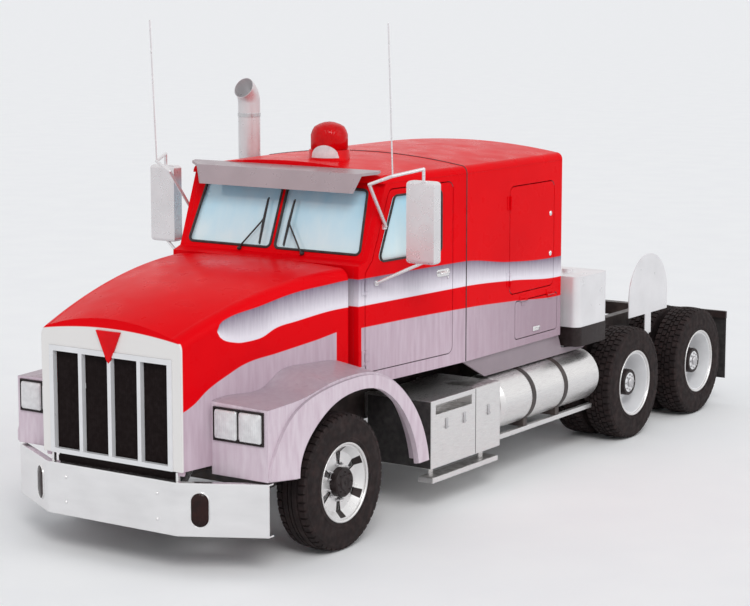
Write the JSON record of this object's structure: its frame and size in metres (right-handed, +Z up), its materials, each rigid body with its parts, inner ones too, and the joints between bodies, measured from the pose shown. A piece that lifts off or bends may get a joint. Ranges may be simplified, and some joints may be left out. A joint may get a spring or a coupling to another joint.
{
  "type": "road tractor with sleeper cab",
  "caption": "Bonneted road tractor with a sleeper: tilting hood, opening doors and hatches, steered front wheels, twin drive wheels and a tilting trailer coupling.",
  "frame": {"origin": "on the ground, under the middle of the overall box", "axes": "+Z up, +X to the driver's left side, the front faces -Y"},
  "size_m": [2.8, 7.945, 3.9002],
  "materials": {
    "body_red": "gloss solid red paint with pale bands",
    "fender_paint": "gloss pale lavender paint",
    "chassis_paint": "satin black paint",
    "cast": "rough casting, painted dark grey",
    "chrome": "polished",
    "polished": "polished aluminium",
    "tyre": "matt black rubber",
    "rubber": "matt black rubber",
    "glass": "light blue tinted glass",
    "black_plastic": "grained black plastic",
    "lamp": "red and clear lamp lenses",
    "grey_plastic": "grained grey plastic",
    "upholstery": "grey woven seat cloth",
    "mirror_shell": "light grey gloss"
  },
  "bodies": {
    "chassis": {"frame": "chassis_paint", "front_axle": "cast", "springs": "chassis_paint", "driveline": "cast", "engine": "cast", "radiator": "chassis_paint", "bumper": "chrome", "lamps": "lamp", "fuel_tanks": "polished", "oil_tanks": "polished", "step_boxes": "polished", "side_skirts": "fender_paint", "floors": "chassis_paint", "cab_front": "body_red", "cab_sides": "body_red", "roof_panels": "body_red", "windscreen": "glass", "sun_visor": "chrome", "wipers": "black_plastic", "exhaust_stack": "chrome", "seats_and_bunk": "upholstery", "dashboard": "grey_plastic", "sleeper_sides": "body_red", "sleeper_rear": "body_red", "coupling_base": "chassis_paint", "rear_fenders": "polished", "mud_flaps": "rubber"},
    "hood": {"hood": "body_red", "front_fenders": "fender_paint", "grille": "chrome", "grille_screen": "black_plastic", "headlamps": "lamp"},
    "tie_rod": {"tie_rod": "cast"},
    "coupling_plate": {"coupling_plate": "cast"},
    "door_left": {"door_left": "body_red", "door_glass_left": "glass", "mirror_left": "mirror_shell"},
    "hatch_left": {"hatch_left": "body_red"},
    "locker_left": {"locker_left": "body_red"},
    "knuckle_left": {"knuckle_left": "cast"},
    "front_wheel_left": {"front_tyre_left": "tyre", "front_wheel_left": "chrome"},
    "drive_fore_left": {"drive_tyres_fore_left": "tyre", "drive_wheel_fore_left": "polished"},
    "drive_aft_left": {"drive_tyres_aft_left": "tyre", "drive_wheel_aft_left": "polished"},
    "door_right": {"door_right": "body_red", "door_glass_right": "glass", "mirror_right": "mirror_shell"},
    "hatch_right": {"hatch_right": "body_red"},
    "locker_right": {"locker_right": "body_red"},
    "knuckle_right": {"knuckle_right": "cast"},
    "front_wheel_right": {"front_tyre_right": "tyre", "front_wheel_right": "chrome"},
    "drive_fore_right": {"drive_tyres_fore_right": "tyre", "drive_wheel_fore_right": "polished"},
    "drive_aft_right": {"drive_tyres_aft_right": "tyre", "drive_wheel_aft_right": "polished"}
  },
  "joints": [
    {"name": "hood_tilt", "type": "hinge", "parent": "chassis", "child": "hood", "pos_m": [0, -3.9225, 0.745], "axis": [1, 0, 0], "range_deg": [0, 70]},
    {"name": "door_left_swing", "type": "hinge", "parent": "chassis", "child": "door_left", "pos_m": [0.92967, -2.04226, 1.33], "axis": [0, 0, -1], "range_deg": [0, 70]},
    {"name": "hatch_left_swing", "type": "hinge", "parent": "chassis", "child": "hatch_left", "pos_m": [1.03, -0.0265, 1.71], "axis": [0, 0, -1], "range_deg": [0, 100]},
    {"name": "locker_left_lift", "type": "hinge", "parent": "chassis", "child": "locker_left", "pos_m": [1.03, 0.2075, 1.504], "axis": [0, -1, 0], "range_deg": [0, 80]},
    {"name": "steer", "type": "hinge", "parent": "chassis", "child": "knuckle_left", "pos_m": [0.86, -2.7225, 0.52], "axis": [0, 0, 1], "range_deg": [-38, 38]},
    {"name": "front_left_spin", "type": "hinge", "parent": "knuckle_left", "child": "front_wheel_left", "pos_m": [1.07, -2.7225, 0.52], "axis": [1, 0, 0], "continuous": true},
    {"name": "drive_fore_left_spin", "type": "hinge", "parent": "chassis", "child": "drive_fore_left", "pos_m": [0.905, 1.9675, 0.52], "axis": [1, 0, 0], "continuous": true},
    {"name": "drive_aft_left_spin", "type": "hinge", "parent": "chassis", "child": "drive_aft_left", "pos_m": [0.905, 3.3275, 0.52], "axis": [1, 0, 0], "continuous": true},
    {"name": "door_right_swing", "type": "hinge", "parent": "chassis", "child": "door_right", "pos_m": [-0.92967, -2.04226, 1.33], "axis": [0, 0, 1], "range_deg": [0, 70]},
    {"name": "hatch_right_swing", "type": "hinge", "parent": "chassis", "child": "hatch_right", "pos_m": [-1.03, -0.0265, 1.71], "axis": [0, 0, 1], "range_deg": [0, 100]},
    {"name": "locker_right_lift", "type": "hinge", "parent": "chassis", "child": "locker_right", "pos_m": [-1.03, 0.2075, 1.504], "axis": [0, 1, 0], "range_deg": [0, 80]},
    {"name": "steer_right", "type": "hinge", "parent": "chassis", "child": "knuckle_right", "pos_m": [-0.86, -2.7225, 0.52], "axis": [0, 0, 1], "range_deg": [-38, 38]},
    {"name": "front_right_spin", "type": "hinge", "parent": "knuckle_right", "child": "front_wheel_right", "pos_m": [-1.07, -2.7225, 0.52], "axis": [1, 0, 0], "continuous": true},
    {"name": "drive_fore_right_spin", "type": "hinge", "parent": "chassis", "child": "drive_fore_right", "pos_m": [-0.905, 1.9675, 0.52], "axis": [1, 0, 0], "continuous": true},
    {"name": "drive_aft_right_spin", "type": "hinge", "parent": "chassis", "child": "drive_aft_right", "pos_m": [-0.905, 3.3275, 0.52], "axis": [1, 0, 0], "continuous": true},
    {"name": "tie_rod_turn", "type": "hinge", "parent": "knuckle_left", "child": "tie_rod", "pos_m": [0.86, -2.5225, 0.41], "axis": [0, 0, 1], "range_deg": [-38, 38]},
    {"name": "coupling_tilt", "type": "hinge", "parent": "chassis", "child": "coupling_plate", "pos_m": [0, 2.5875, 1.085], "axis": [1, 0, 0], "range_deg": [-12, 12]}
  ],
  "couplings": [
    {"joint": "steer_right", "follows": "steer", "ratio": 1},
    {"joint": "tie_rod_turn", "follows": "steer", "ratio": -1}
  ]
}
